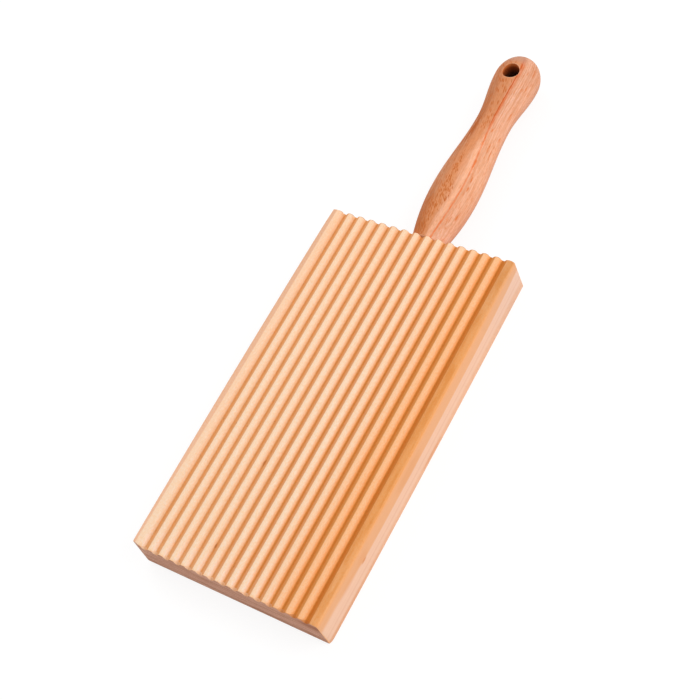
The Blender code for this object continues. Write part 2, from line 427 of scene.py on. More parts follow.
def hole_mouth(shape, loop, side):
    """Rings from the patch's border to the hole's wall, over a softened rim."""
    rings = [loop]
    border = [(vert.co.x, vert.co.y) for vert in loop]
    angles = [math.atan2(y - HOLE_STATION, x) for x, y in border]
    outer = HOLE_RADIUS + HOLE_RIM
    for step in range(1, HOLE_RINGS + 1):
        share = step / HOLE_RINGS
        ring = []
        for (x, y), angle in zip(border, angles):
            ring_x = x + (outer * math.cos(angle) - x) * share
            ring_y = y + (HOLE_STATION + outer * math.sin(angle) - y) * share
            ring.append(shape.verts.new((ring_x, ring_y, side * surface_height(ring_x, ring_y))))
        rings.append(ring)
    for step in range(1, RIM_STEPS + 1):
        turn = math.radians(90) * step / RIM_STEPS
        radius = outer - HOLE_RIM * math.sin(turn)
        drop = HOLE_RIM * (1 - math.cos(turn))
        ring = []
        for angle in angles:
            rim_x = outer * math.cos(angle)
            rim_y = HOLE_STATION + outer * math.sin(angle)
            height = surface_height(rim_x, rim_y) - drop
            ring.append(shape.verts.new((radius * math.cos(angle),
                                         HOLE_STATION + radius * math.sin(angle), side * height)))
        rings.append(ring)
    return rings


def wall_rings(shape, upper, lower):
    """Rings down the hole's wall, between its two mouths."""
    rings = [upper]
    for step in range(1, HOLE_WALL_STEPS):
        share = step / HOLE_WALL_STEPS
        rings.append([shape.verts.new(top.co.lerp(bottom.co, share)) for top, bottom in zip(upper, lower)])
    rings.append(lower)
    return rings


def in_window(row, column, low_row, high_row):
    """Whether the quad that starts at a row and column lies in one of the hole's two patches."""
    if not low_row <= row < high_row:
        return False
    half = TURNED_STEPS // 2
    reach = HOLE_WINDOW_STEPS
    offset = (column + half) % TURNED_STEPS - half
    return -reach <= offset < reach or offset >= half - reach or offset < reach - half


def nearest_row(stations, station):
    return min(range(len(stations)), key=lambda row: abs(stations[row] - station))


def turned_surface(shape, rows, low_row, high_row):
    """Quads between the rows, but for the hole's two patches, and a fan at the tip."""
    for row in range(len(rows) - 1):
        for column in range(TURNED_STEPS):
            if in_window(row, column, low_row, high_row):
                continue
            following = (column + 1) % TURNED_STEPS
            face = shape.faces.new((rows[row][column], rows[row][following],
                                    rows[row + 1][following], rows[row + 1][column]))
            face.smooth = True
    tip = shape.verts.new((0, HANDLE_LENGTH, 0))
    for column in range(TURNED_STEPS):
        face = shape.faces.new((rows[-1][column], rows[-1][(column + 1) % TURNED_STEPS], tip))
        face.smooth = True


def neck_end(shape, first_row):
    """The neck's eased rim, its end face and the pin's bore."""
    rings = [first_row]
    for step in range(RIM_STEPS + 1):
        turn = math.radians(90) * step / RIM_STEPS
        radius = NECK_RADIUS - NECK_RIM * (1 - math.cos(turn))
        inset = NECK_RIM * (1 - math.sin(turn))
        rings.append(turned_ring(shape, radius, lambda x, inset=inset: neck_station(x, inset)))
    rings.append(turned_ring(shape, PIN_BORE_RADIUS, lambda x: neck_station(x, 0)))
    rings.append(turned_ring(shape, PIN_BORE_RADIUS, lambda x: PIN_BORE_DEPTH))
    join_rings(shape, rings)
    shape.faces.new(rings[-1])


def hanging_hole(shape, rows, low_row, high_row):
    """The hole's wall and its two mouths, in the patches that the turned surface leaves open."""
    places = window_loop(low_row, high_row)
    half = TURNED_STEPS // 2
    upper_loop = [rows[row][column % TURNED_STEPS] for row, column in places]
    lower_loop = [rows[row][(half - column) % TURNED_STEPS] for row, column in places]
    upper = hole_mouth(shape, upper_loop, 1)
    lower = hole_mouth(shape, lower_loop, -1)
    join_rings(shape, upper)
    join_rings(shape, lower)
    join_rings(shape, wall_rings(shape, upper[-1], lower[-1]))


def make_handle():
    shape = bmesh.new()
    stations = handle_stations()[1:]
    rows = []
    for station in stations:
        rows.append(turned_ring(shape, handle_radius(station), lambda x, station=station: station))
    low_row = nearest_row(stations, HOLE_STATION - HOLE_WINDOW_REACH)
    high_row = nearest_row(stations, HOLE_STATION + HOLE_WINDOW_REACH)
    turned_surface(shape, rows, low_row, high_row)
    neck_end(shape, rows[0])
    hanging_hole(shape, rows, low_row, high_row)

    spare = [vert for vert in shape.verts if not vert.link_faces]
    bmesh.ops.delete(shape, geom=spare, context="VERTS")
    bmesh.ops.recalc_face_normals(shape, faces=shape.faces)
    handle = add_object("turned_handle", shape)
    handle.location = HANDLE_PLACE
    handle.rotation_euler = (0, 0, HANDLE_LEAN)
    return handle


# The materials


def linear(red, green, blue):
    """A colour for the shaders, from the red, green and blue that a screen shows."""
    values = []
    for value in (red, green, blue):
        share = value / 255
        values.append(share / 12.92 if share <= 0.04045 else ((share + 0.055) / 1.055) ** 2.4)
    return (*values, 1)


class Graph:
    """A material's node tree, with short calls that add a node, wire it and return its output."""

    def __init__(self, name):
        self.material = bpy.data.materials.new(name)
        self.material.use_nodes = True
        self.tree = self.material.node_tree
        self.shader = self.tree.nodes["Principled BSDF"]
        self.coordinates = self.tree.nodes.new("ShaderNodeTexCoord")

    def plug(self, socket, value):
        if isinstance(value, bpy.types.NodeSocket):
            self.tree.links.new(value, socket)
        else:
            socket.default_value = value

    def node(self, kind, inputs, **settings):
        node = self.tree.nodes.new(kind)
        for name, value in settings.items():
            setattr(node, name, value)
        for name, value in inputs.items():
            self.plug(node.inputs[name], value)
        return node

    def math(self, operation, *values):
        return self.node("ShaderNodeMath", dict(enumerate(values)), operation=operation).outputs[0]

    def vector_math(self, operation, *values):
        node = self.node("ShaderNodeVectorMath", dict(enumerate(values)), operation=operation)
        return node.outputs[0]

    def add(self, *values):
        total = values[0]
        for value in values[1:]:
            total = self.math("ADD", total, value)
        return total

    def times(self, *values):
        total = values[0]
        for value in values[1:]:
            total = self.math("MULTIPLY", total, value)
        return total

    def minus(self, first, second):
        return self.math("SUBTRACT", first, second)

    def split(self, vector):
        return self.node("ShaderNodeSeparateXYZ", {0: vector}).outputs

    def join(self, x, y, z):
        return self.node("ShaderNodeCombineXYZ", {0: x, 1: y, 2: z}).outputs[0]

    def scale(self, vector, amount):
        """A place or a colour times a number."""
        node = self.node("ShaderNodeVectorMath", {0: vector, "Scale": amount}, operation="SCALE")
        return node.outputs[0]

    def length(self, x, y):
        node = self.node("ShaderNodeVectorMath", {0: self.join(x, y, 0)}, operation="LENGTH")
        return node.outputs["Value"]

    def place(self):
        """Place on the piece in millimetres."""
        return self.scale(self.coordinates.outputs["Object"], MILLIMETRES)

    def normal(self):
        return self.coordinates.outputs["Normal"]

    def fade(self, value, start, end, low=0, high=1):
        """Smooth change from low to high while the value goes from start to end."""
        node = self.node("ShaderNodeMapRange", {"Value": value, "From Min": start, "From Max": end,
                                                "To Min": low, "To Max": high},
                         interpolation_type="SMOOTHSTEP")
        return node.outputs[0]

    def band(self, value, middle, half_width, softness):
        """1 within a band of the value and 0 away from it."""
        distance = self.math("ABSOLUTE", self.minus(value, middle))
        return self.fade(distance, half_width - softness, half_width + softness, 1, 0)

    def noise(self, vector, scales, detail=2, roughness=0.5):
        """Noise whose grain is the inverse of the scales, in each direction, from 0 to 1."""
        stretched = self.vector_math("MULTIPLY", vector, scales)
        node = self.node("ShaderNodeTexNoise", {"Vector": stretched, "Scale": 1, "Detail": detail,
                                                "Roughness": roughness})
        return node.outputs["Fac"]

    def dashes(self, vector, scales, share):
        """Short dashes strewn over the first two directions; the share of cells that hold one is given."""
        stretched = self.vector_math("MULTIPLY", vector, scales)
        cells = self.node("ShaderNodeTexVoronoi", {"Vector": stretched, "Scale": 1},
                          voronoi_dimensions="2D")
        chosen = self.fade(self.split(cells.outputs["Color"])[0], share + 0.02, share - 0.02)
        return self.times(self.fade(cells.outputs["Distance"], 0.44, 0.2), chosen)

    def mix(self, factor, first, second, blend="MIX"):
        node = self.node("ShaderNodeMix", {}, data_type="RGBA", blend_type=blend)
        self.plug(node.inputs[MIX_FACTOR], factor)
        self.plug(node.inputs[MIX_FIRST], first)
        self.plug(node.inputs[MIX_SECOND], second)
        return node.outputs[MIX_RESULT]

    def paint(self, colour, paint, *masks):
        """The colour under a paint, given as a screen shows it, as thick as the masks' product."""
        return self.mix(self.times(*masks), colour, linear(*paint))

    def tint(self, factor, colour, multiplier):
        """The colour, multiplied by another one as far as the factor says."""
        return self.mix(factor, colour, (*multiplier, 1), "MULTIPLY")

    def spot(self, first, second, places, reaches):
        """1 at a place given by two values, fading to 0 at its reach in each."""
        offsets = []
        for value, place, reach in zip((first, second), places, reaches):
            offsets.append(self.math("DIVIDE", self.minus(value, place), reach))
        return self.fade(self.length(*offsets), 1, 0.3)

    def finish(self, colour, roughness, specular, height, bump_depth):
        self.plug(self.shader.inputs["Base Color"], colour)
        self.plug(self.shader.inputs["Roughness"], roughness)
        self.shader.inputs["Specular IOR Level"].default_value = specular
        bump = self.node("ShaderNodeBump", {"Height": height, "Distance": bump_depth, "Strength": 1})
        self.plug(self.shader.inputs["Normal"], bump.outputs[0])
        return self.material


def groove_tone_and_painted_shading(graph, x, phase, drift, crest):
    """Colour across a groove with its middle at phase 0.5: crest, orange shoulder, dark valley, wall.
    Beyond the wood's tone, which deepens to the right, the shoulder's orange is painted bounced light and
    the valley's and wall's darkness is painted shade.
    """
    across = graph.fade(drift, -48, 45)
    shoulder = graph.mix(across, linear(255, 216, 175), linear(255, 178, 106))
    shoulder = graph.tint(graph.fade(x, 24, 34), shoulder, (0.99, 0.95, 0.88))
    # Painted shade: the valley and the wall that faces left are darker than the wood, standing in for the
    # groove's shade.
    valley = graph.mix(across, linear(237, 165, 101), linear(212, 129, 52))
    wall = graph.mix(graph.fade(x, -46, -25), linear(230, 162, 104), linear(232, 168, 114))
    wall = graph.paint(wall, (228, 161, 107), graph.fade(x, -20, 0))
    wall = graph.paint(wall, (217, 143, 74), graph.fade(x, 16, 33))
    last = graph.fade(x, LAST_CREST * MILLIMETRES - 5.5, LAST_CREST * MILLIMETRES - 2.5)
    valley = graph.tint(last, valley, (0.97, 0.91, 0.82))
    wall = graph.paint(wall, (208, 126, 53), last)
    colour = graph.mix(graph.fade(phase, 0.26, 0.43), crest, shoulder)
    colour = graph.mix(graph.fade(phase, 0.375, 0.49), colour, valley)
    colour = graph.mix(graph.fade(phase, 0.55, 0.7), colour, wall)
    return graph.mix(graph.fade(phase, 0.88, 0.98), colour, crest)


def stained(graph, colour, x, from_end):
    """Small brown marks left in the grain, each at its distances from the middle and the near end."""
    marks = (
        ((-12, 57.7), (0.8, 2.3), 0.6),
        ((-12.2, 14.4), (0.7, 1.9), 0.55),
        ((-28.9, 70.4), (0.45, 0.6), 0.8),
        ((-34.6, 69.9), (0.5, 0.7), 0.4),
        ((-42.5, 70), (0.7, 0.9), 0.5),
        ((-16.6, 11), (0.35, 0.6), 0.7),
        ((0.9, 9.4), (0.4, 0.8), 0.6),
        ((-18.4, 77.8), (0.4, 0.6), 0.5),
    )
    for place, reach, strength in marks:
        mark = graph.spot(x, from_end, place, reach)
        colour = graph.paint(colour, (176, 98, 42), mark, strength)
    return colour


def side_colour(graph, z, from_end, line, waver):
    """The long side faces: growth layers that rise towards the far end, with one small knot and painted
    shade of a shallow dip above it.
    """
    share = graph.math("DIVIDE", from_end, BOARD_LENGTH * MILLIMETRES)
    rise = graph.add(graph.times(share, 0.7), graph.times(graph.math("POWER", share, 3), 1.5))
    layer = graph.minus(z, rise)
    border = graph.add(graph.fade(share, 0.22, 0.1, 10.3, 11.5), graph.times(share, 0.2), waver,
                       graph.times(graph.math("POWER", share, 6), 3.3))
    above = graph.math("DIVIDE", graph.minus(z, border), graph.fade(share, 0.3, 0, 1.1, 3.6))
    colour = graph.mix(graph.fade(above, 0, 1), linear(246, 201, 172), linear(239, 177, 131))
    colour = graph.paint(colour, (243, 192, 157), graph.fade(layer, 3.3, 2.5))
    seams = (
        (8.6, 0.3, 0.3, (239, 190, 158)),
        (6.1, 0.45, 0.6, (238, 187, 156)),
        (4.4, 0.2, 0.5, (250, 210, 185)),
    )
    for middle, half_width, strength, paint in seams:
        colour = graph.paint(colour, paint, graph.band(layer, middle, half_width, 0.3), strength)
    colour = graph.paint(colour, (244, 174, 118), graph.fade(z, 16.6, 19.8))
    patches = (
        # The first patch is painted shade of a shallow dip above the knot; the second is the knot.
        ((36.3, 13.6), (6, 4), 0.3, (232, 158, 104)),
        ((36.3, 11.2), (2.6, 1.1), 0.75, (222, 142, 84)),
        ((24, 13), (12, 3), 0.35, (234, 164, 114)),
        ((80, 14), (16, 4.5), 0.5, (232, 163, 110)),
        ((96, 2), (12, 1.6), 0.6, (228, 160, 116)),
        ((0, 1.2), (60, 2.4), 0.8, (232, 172, 132)),
    )
    for place, reach, strength, paint in patches:
        colour = graph.paint(colour, paint, graph.spot(from_end, z, place, reach), strength)
    colour = graph.tint(graph.fade(share, 0.72, 1), colour, (0.93, 0.96, 1.02))
    return graph.scale(colour, graph.add(0.935, graph.times(line, 0.07)))


def end_colour(graph, x, z, line):
    """The sawn ends: brown, with fine level growth lines, redder along the foot."""
    colour = graph.mix(graph.fade(line, 0.39, 0.61), linear(188, 128, 99), linear(235, 183, 157))
    colour = graph.paint(colour, (203, 146, 120), graph.fade(z, 2.6, 0.6), 0.5)
    left_foot = graph.times(graph.fade(x, -28, -42), graph.fade(z, 6, 3))
    colour = graph.paint(colour, (190, 128, 98), left_foot, 0.5)
    under_band = graph.times(graph.fade(x, 34, 44), graph.band(z, 16.4, 2.6, 1.6))
    return graph.paint(colour, (178, 112, 82), under_band, 0.9)


def ridged_colour(graph, place, x, from_end, phase, on_ridges):
    """The ridged face, pinkest at the left and deepest in colour at the right."""
    patches = graph.minus(graph.noise(place, (0.05, 0.008, 0.05)), 0.5)
    from_middle = graph.minus(from_end, BOARD_LENGTH * MILLIMETRES / 2)
    crest_place = graph.add(x, graph.times(patches, 16))
    drift = graph.add(crest_place, graph.times(from_middle, graph.fade(x, 20, -40), 0.15))
    crest = graph.mix(graph.fade(crest_place, 10, 41), linear(255, 221, 188), linear(255, 193, 141))
    pinker = graph.times(graph.fade(x, -36, -47), graph.fade(from_end, 10, 90, 0.2, 1))
    crest = graph.paint(crest, (255, 213, 177), pinker)
    colour = graph.mix(on_ridges, crest, groove_tone_and_painted_shading(graph, x, phase, drift, crest))
    far = graph.times(graph.fade(from_end, 105, 190), graph.fade(x, 36, 16),
                      graph.fade(phase, 0.6, 0.5, 0.35, 1))
    return graph.tint(far, colour, (1, 0.95, 0.9))


def groove_ends(graph, colour, x, from_end, phase, normal_y, ridged, upward):
    """The grooves' ends: bevels, tinted crests and paler valleys at the near end, with a painted shadow
    line along the crests' ends, and a lip at the far one.
    """
    upright = graph.math("MULTIPLY", normal_y, -1)
    mouth = graph.times(graph.fade(upright, 0.1, 0.22), graph.fade(upright, 0.75, 0.6))
    mouth_colour = graph.mix(graph.fade(x, 15, 42), linear(255, 204, 160), linear(206, 128, 72))
    colour = graph.mix(graph.times(mouth, ridged, 0.65), colour, mouth_colour)
    near_crest = graph.times(graph.fade(from_end, 1.8, 0.3), ridged, upward)
    colour = graph.tint(near_crest, colour, (1, 0.93, 0.84))
    near_valley = graph.times(graph.fade(from_end, 14, 3), graph.fade(x, 32, 22),
                              graph.band(phase, 0.5, 0.25, 0.1), ridged)
    colour = graph.tint(near_valley, colour, (1.02, 1.09, 1.25))
    # Painted shadow: a darker line along the crests where they turn down into the near end face.
    edge = graph.times(graph.fade(upright, 0.6, 0.75), ridged)
    colour = graph.paint(colour, (214, 138, 100), edge, 0.8)
    bottom = graph.minus(1, graph.times(graph.band(phase, 0.44, 0.12, 0.05), 0.8))
    by_neck = graph.band(x, HANDLE_OFFSET * MILLIMETRES, NECK_RADIUS * MILLIMETRES + 1, 0.5)
    lip = graph.times(graph.fade(normal_y, 0.15, 0.45), ridged, bottom)
    lip = graph.times(lip, graph.minus(1, by_neck))
    return graph.paint(colour, (204, 146, 100), lip, 0.85)


def edge_bands(graph, colour, place, x, from_end, upward):
    """The plain edges of the top face: an orange band at the right and a narrow pink strip at the left."""
    side = BOARD_WIDTH / 2 * MILLIMETRES
    last = LAST_CREST * MILLIMETRES
    band_patch = graph.noise(place, (0.5, 0.06, 0.5), detail=3)
    band = graph.mix(graph.fade(band_patch, 0.35, 0.65), linear(226, 147, 78), linear(234, 160, 95))
    band = graph.paint(band, (238, 164, 100), graph.fade(x, side - 0.7, side - 0.1))
    band = graph.tint(graph.fade(from_end, 60, 0), band, (1.06, 1.18, 1.48))
    band = graph.tint(graph.fade(from_end, 130, 190), band, (0.94, 1.04, 1.3))
    colour = graph.mix(graph.times(graph.fade(x, last - 1.2, last - 0.5), upward), colour, band)
    strip = graph.mix(graph.fade(from_end, 0, 190), linear(247, 194, 158), linear(236, 183, 147))
    narrower = graph.fade(from_end, 80, 25, 0, 0.8)
    left_edge = graph.times(graph.fade(graph.add(x, narrower), 2.7 - side, 2.3 - side), upward)
    return graph.mix(left_edge, colour, strip)


def beech_material():
    """Pale beech: mottled peach crests, orange grooves with painted shade, banded edges and brown end
    grain.
    """
    graph = Graph("pale beech")
    place = graph.place()
    x, y, z = graph.split(place)
    normal_x, normal_y, normal_z = graph.split(graph.normal())
    first = FIRST_CREST * MILLIMETRES
    last = LAST_CREST * MILLIMETRES
    from_end = graph.minus(y, NEAR_END_Y * MILLIMETRES)
    offset = graph.minus(x, GROOVE_SHIFT * MILLIMETRES)
    phase = graph.math("FRACT", graph.add(graph.math("DIVIDE", offset, GROOVE_PITCH * MILLIMETRES), 0.5))
    upward = graph.fade(normal_z, 0.2, 0.4)
    ridged = graph.times(graph.fade(x, first - 0.3, first + 0.3), graph.fade(x, last - 0.3, last - 0.6))

    colour = ridged_colour(graph, place, x, from_end, phase, graph.times(ridged, upward))
    colour = groove_ends(graph, colour, x, from_end, phase, normal_y, ridged, upward)
    colour = edge_bands(graph, colour, place, x, from_end, upward)

    mottle = graph.noise(place, (1.7, 0.9, 1.7), detail=3, roughness=0.65)
    fibre = graph.noise(place, (5, 0.12, 5), detail=3, roughness=0.6)
    speckle = graph.mix(graph.fade(mottle, 0.36, 0.64), (1, 0.94, 0.86, 1), (1, 1.05, 1.13, 1))
    colour = graph.mix(1, colour, speckle, "MULTIPLY")
    colour = graph.scale(colour, graph.add(0.99, graph.times(fibre, 0.02)))
    colour = stained(graph, colour, x, from_end)

    waver = graph.minus(graph.noise(place, (0.02, 0.012, 0.02), detail=1), 0.5)
    layer = graph.add(z, graph.times(waver, 3), graph.times(x, 0.02))
    line_place = graph.join(graph.times(x, 0.05), graph.times(y, 0.004), layer)
    line = graph.noise(line_place, (1, 1, 2.2), detail=4, roughness=0.65)
    flank = graph.fade(graph.math("ABSOLUTE", normal_x), 0.9, 0.97)
    colour = graph.mix(flank, colour, side_colour(graph, z, from_end, line, waver))
    end = graph.fade(graph.math("ABSOLUTE", normal_y), 0.86, 0.96)
    colour = graph.mix(end, colour, end_colour(graph, x, z, line))

    height = graph.add(fibre, graph.times(mottle, 0.6))
    return graph.finish(colour, graph.add(0.55, graph.times(fibre, 0.12)), 0.1, height, 0.00004)


def dash_zones(graph, y, turn):
    """Where short brown dashes crowd together, on a belt of the grip's left, and where they are few."""
    rising = graph.add(graph.times(y, 1.5), -4)
    falling = graph.add(graph.times(y, -1), 47)
    right_limit = graph.math("MINIMUM", graph.math("MINIMUM", rising, falling), 22)
    left_limit = graph.math("MINIMUM", graph.add(graph.times(y, 1.35), -46), -8)
    inside = graph.times(graph.fade(graph.minus(turn, right_limit), 1, -5),
                         graph.fade(graph.minus(turn, left_limit), -5, 4))
    crowded = graph.times(inside, graph.fade(y, 62, 40))
    knob_limit = graph.math("MAXIMUM", falling, graph.fade(y, 58, 66, -60, 22))
    few_limit = graph.math("MINIMUM", graph.math("MINIMUM", rising, knob_limit), 22)
    few = graph.times(graph.fade(graph.minus(turn, few_limit), 1, -7),
                      graph.fade(turn, -62, -42))
    return crowded, few


def handle_tone_and_painted_shading(graph, y, turn, grain, blotch):
    """The handle's broad colours round its axis, partly the wood's own and partly painted light and shade
    from a light on the right: pale pink on the right, darker where the right turns under, orange over the
    top and brown on the left.
    """
    knob = graph.fade(y, 55, 78)
    dark_grain = graph.mix(knob, linear(231, 166, 129), linear(228, 161, 123))
    pale_grain = graph.mix(knob, linear(243, 183, 151), linear(247, 188, 158))
    colour = graph.mix(graph.fade(grain, 0.37, 0.64), dark_grain, pale_grain)
    # Painted shade: darker where the right side turns under.
    colour = graph.paint(colour, (226, 165, 134), graph.fade(turn, 76, 104))
    waver = graph.times(graph.minus(blotch, 0.5), 22)
    edge = graph.fade(y, 46, 62, 19, 26)
    from_edge = graph.add(graph.minus(turn, edge), graph.times(waver, 0.4))
    colour = graph.paint(colour, (221, 145, 98), graph.fade(from_edge, 2, -17))
    # The brown on the left is partly the wood's colour and partly painted shade.
    brown = graph.mix(graph.band(y, 37, 13, 9), linear(196, 122, 76), linear(211, 148, 109))
    brown = graph.paint(brown, (208, 144, 106), graph.band(y, 62, 9, 5))
    brown = graph.paint(brown, (206, 137, 96), graph.fade(y, 74, 92))
    return graph.mix(graph.fade(graph.add(turn, waver), 0, -34), colour, brown)


def brown_streaks(graph, y, turn, around):
    """Long dark streaks on the handle's left side, at the waist and by the neck."""
    patch = graph.math("MAXIMUM", graph.spot(y, turn, (64, -32), (17, 26)),
                       graph.spot(y, turn, (0, -26), (13, 34)))
    streak_place = graph.join(graph.add(around, graph.times(y, 0.13)), graph.times(y, 0.07), 0)
    streak = graph.fade(graph.noise(streak_place, (0.85, 1, 1), detail=3, roughness=0.6), 0.44, 0.5)
    left_side = graph.times(graph.fade(turn, 0, -25), 0.3)
    reach = graph.math("MAXIMUM", graph.times(patch, 0.95), left_side)
    reach = graph.times(reach, graph.fade(y, 0.5, 5, 0.4, 1))
    return graph.times(reach, graph.add(0.05, graph.times(streak, 0.95)))


def red_marks(graph, y, turn, raggedness):
    """Single red-brown marks in the handle's grain, each at its station and its angle from the top."""
    places = (
        ((7.4, 50.5), (0.8, 9)),
        ((15, 64), (3, 4.5)),
        ((12, 46), (3.5, 2.5)),
        ((30, 50), (2.2, 4)),
        ((35.8, 47.5), (3.8, 3)),
        ((45, 36), (2.2, 4)),
        ((55.8, 50.5), (4.4, 3.6)),
        ((53.5, 63.5), (3.6, 3)),
        ((64, 72.5), (2.6, 5)),
        ((66, 35), (2.2, 3.5)),
        ((79, 66), (3.4, 4)),
        ((92.5, 50.5), (2.2, 3.5)),
        ((95.5, 59.5), (3, 3)),
        ((105, 58.5), (4.5, 3.5)),
    )
    total = 0
    for place, reach in places:
        total = graph.math("MAXIMUM", total, graph.spot(y, turn, place, reach))
    return graph.times(total, graph.fade(raggedness, 0.4, 0.56, 0.2, 0.9))


def hole_painted_highlight_and_shade(graph, colour, x, y, z):
    """A pale rim round the hanging hole, a painted highlight that is stronger on its right, and its wall,
    with painted shade darker further in.
    """
    reach = graph.length(x, graph.minus(y, HOLE_STATION * MILLIMETRES))
    hole = HOLE_RADIUS * MILLIMETRES
    # Painted highlight along the hole's rim, stronger on its right side.
    rim = graph.band(reach, hole + 0.16, 0.2, 0.1)
    colour = graph.paint(colour, (248, 194, 156), rim, graph.fade(x, -3.5, 3.5, 0.2, 0.6))
    # Painted shade down the hole's wall, darker further in.
    depth = graph.math("ABSOLUTE", z)
    wall = graph.mix(graph.fade(depth, 10.8, 8), linear(220, 122, 62), linear(150, 70, 28))
    wall = graph.paint(wall, (84, 46, 27), graph.fade(depth, 8, 3.5))
    return graph.mix(graph.fade(reach, hole + 0.1, hole + 0.02), colour, wall)


def dashed(graph, colour, y, turn, around, ragged):
    """Short brown dashes that lean a little round the handle, crowded in one zone and few in another."""
    zone, few = dash_zones(graph, y, turn)
    leaning = graph.join(graph.add(around, graph.times(y, 0.28)), y, 0)
    long_dash = graph.dashes(leaning, (1.15, 0.33, 1), 0.65)
    short_dash = graph.dashes(leaning, (1.8, 0.5, 1), 0.35)
    dash = graph.math("MAXIMUM", long_dash, graph.times(short_dash, 0.7))
    dash = graph.times(dash, graph.fade(ragged, 0.36, 0.52, 0.4, 1))
    colour = graph.paint(colour, (228, 152, 98), zone, 0.2)
    colour = graph.paint(colour, (196, 100, 28), zone, dash, 0.95)
    sparse = graph.dashes(leaning, (0.95, 0.28, 1), 0.5)
    sparse = graph.times(sparse, graph.fade(y, 60, 80, 0.6, 0.85))
    return graph.paint(colour, (200, 106, 44), few, sparse)


def long_streak(graph, colour, place, y, layer, ragged):
    """One long dark streak with a browner core, and a fainter one beside it."""
    strength = graph.fade(graph.noise(place, (0.1, 0.2, 0.1)), 0.35, 0.6, 0.6, 1)
    wide = graph.band(y, 90, 22, 8)
    width = graph.add(0.3, graph.times(wide, 0.4), graph.times(graph.band(y, 48, 6, 4), 0.15),
                      graph.fade(y, 90, 98, 0, 0.25))
    wander = graph.times(graph.minus(ragged, 0.5), 1.1)
    distance = graph.math("ABSOLUTE", graph.add(layer, wander))
    streak = graph.fade(graph.minus(distance, width), 0.38, -0.3)
    streak = graph.times(streak, strength, graph.add(0.95, graph.times(wide, -0.25)))
    colour = graph.mix(streak, colour, graph.mix(wide, linear(234, 122, 62), linear(222, 112, 54)))
    core = graph.math("ABSOLUTE", graph.add(layer, graph.times(wander, 0.5), 0.4))
    colour = graph.paint(colour, (206, 92, 30), graph.fade(core, 0.36, 0.08), wide, 0.95)
    second = graph.times(graph.band(layer, 1.7, 0.25, 0.25), graph.fade(y, 70, 50))
    return graph.paint(colour, (230, 146, 106), second, 0.4)


def handle_ends(graph, colour, y, turn, normal_y):
    """Tints of the neck, its end face, the knob and its cap; the end face is pale with painted light, and
    the tip has painted shade over its top and left.
    """
    # Painted light: the neck's end face lies in shade, and is painted pale.
    colour = graph.paint(colour, (255, 212, 176), graph.fade(normal_y, -0.85, -0.97))
    # Painted shade: a darker edge over the top and left of the tip.
    top = graph.times(graph.fade(y, 104, 109), graph.fade(turn, 40, 14), 0.75)
    colour = graph.paint(colour, (202, 150, 124), top)
    cap = graph.times(graph.fade(y, 90, 106), graph.fade(turn, 15, 55))
    colour = graph.tint(cap, colour, (0.9, 0.87, 0.84))
    neck_right = graph.times(graph.fade(y, 9, 3), graph.fade(turn, 15, 45))
    colour = graph.tint(neck_right, colour, (1.04, 1.14, 1.24))
    colour = graph.tint(graph.fade(y, 55, 75), colour, (0.975, 0.98, 1))
    return graph.tint(graph.fade(normal_y, 0.8, 0.98), colour, (0.9, 0.84, 0.82))


def hardwood_material():
    """Reddish turned hardwood, with growth layers at a slant, one dark streak and short brown dashes."""
    graph = Graph("reddish hardwood")
    place = graph.place()
    x, y, z = graph.split(place)
    normal_y = graph.split(graph.normal())[1]
    turn = graph.times(graph.math("ARCTAN2", x, z), math.degrees(1))
    around = graph.times(turn, math.radians(GRIP_RADIUS * MILLIMETRES))
    straight = graph.join(around, y, 0)
    ragged = graph.noise(straight, (1.1, 0.33, 1), detail=3, roughness=0.65)

    slant = graph.times(graph.minus(x, z), math.sqrt(0.5))
    rise = graph.add(graph.fade(y, 0, 34, 2.4, 0.75), graph.fade(y, 42, 62, 0, 0.6))
    waver = graph.minus(graph.noise(place, (0.12, 0.05, 0.12)), 0.5)
    layer = graph.add(slant, graph.times(y, 0.029), rise, graph.times(waver, 0.8))

    grain_place = graph.join(layer, graph.times(y, 0.03), graph.times(graph.add(x, z), 0.08))
    grain = graph.noise(grain_place, (1.2, 1, 1), detail=4, roughness=0.6)
    blotch = graph.noise(place, (0.3, 0.12, 0.3), detail=3, roughness=0.6)
    colour = handle_tone_and_painted_shading(graph, y, turn, grain, blotch)
    colour = graph.paint(colour, (234, 152, 106), graph.fade(blotch, 0.5, 0.7), 0.35)
    streaks = brown_streaks(graph, y, turn, around)
    colour = graph.paint(colour, (182, 92, 28), streaks)
    pale = graph.times(graph.band(layer, -1.4, 0.9, 0.6), graph.fade(y, 64, 50))
    colour = graph.paint(colour, (250, 186, 149), pale, 0.75)
    colour = dashed(graph, colour, y, turn, around, ragged)

    pore = graph.times(graph.dashes(straight, (1.25, 0.24, 1), 0.3), graph.fade(turn, 26, 34),
                       graph.fade(turn, 98, 72))
    pore_strength = graph.times(pore, graph.fade(ragged, 0.4, 0.6, 0.15, 0.7))
    colour = graph.paint(colour, (224, 132, 74), pore_strength)
    marks = red_marks(graph, y, turn, ragged)
    colour = graph.paint(colour, (222, 122, 58), marks)
    colour = long_streak(graph, colour, place, y, layer, ragged)

    fibre = graph.noise(place, (2, 0.1, 2), detail=3, roughness=0.65)
    mottle = graph.noise(place, (1.1, 0.6, 1.1), detail=3, roughness=0.65)
    fine = graph.mix(graph.fade(fibre, 0.32, 0.68), (0.955, 0.87, 0.76, 1), (1.03, 1.06, 1.09, 1))
    colour = graph.mix(1, colour, fine, "MULTIPLY")
    colour = graph.scale(colour, graph.fade(mottle, 0.3, 0.7, 0.95, 1.05))
    colour = handle_ends(graph, colour, y, turn, normal_y)
    colour = hole_painted_highlight_and_shade(graph, colour, x, y, z)

    height = graph.add(graph.times(fibre, 0.5), graph.times(pore, -0.2), graph.times(mottle, 0.4))
    return graph.finish(colour, graph.add(0.5, graph.times(mottle, 0.15)), 0.12, height, 0.00003)


